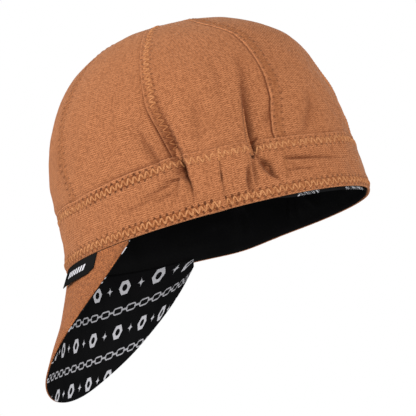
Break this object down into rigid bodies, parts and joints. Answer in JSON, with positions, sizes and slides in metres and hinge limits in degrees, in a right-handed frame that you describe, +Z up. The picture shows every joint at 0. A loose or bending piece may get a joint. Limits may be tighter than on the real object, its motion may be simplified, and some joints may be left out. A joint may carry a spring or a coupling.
{
  "type": "welding cap",
  "caption": "Soft welder's cap of brown cotton duck: panelled crown, deep band gathered at the sides, drooping soft bill, black lining, side tag.",
  "frame": {"origin": "middle of the head opening, in the plane of the rim", "axes": "+Z up through the crown, -Y towards the bill in front, +X towards the wearer's left"},
  "size_m": [0.1744, 0.2333, 0.2178],
  "materials": {
    "duck": "matt brown cotton duck with a visible weave and golden brown stitching",
    "lining_cloth": "matt black cotton with a pale grey print",
    "ribbon": "black woven ribbon with a pale woven bar"
  },
  "bodies": {
    "root": {"crown_panel_1": "duck", "crown_panel_2": "duck", "crown_panel_3": "duck", "crown_panel_4": "duck", "crown_panel_5": "duck", "crown_panel_6": "duck", "crown_panel_7": "duck", "crown_panel_8": "duck", "band_front": "duck", "band_back": "duck", "bill_cover": "duck", "lining": "lining_cloth", "bill_lining": "lining_cloth", "side_tag": "ribbon"}
  },
  "joints": []
}
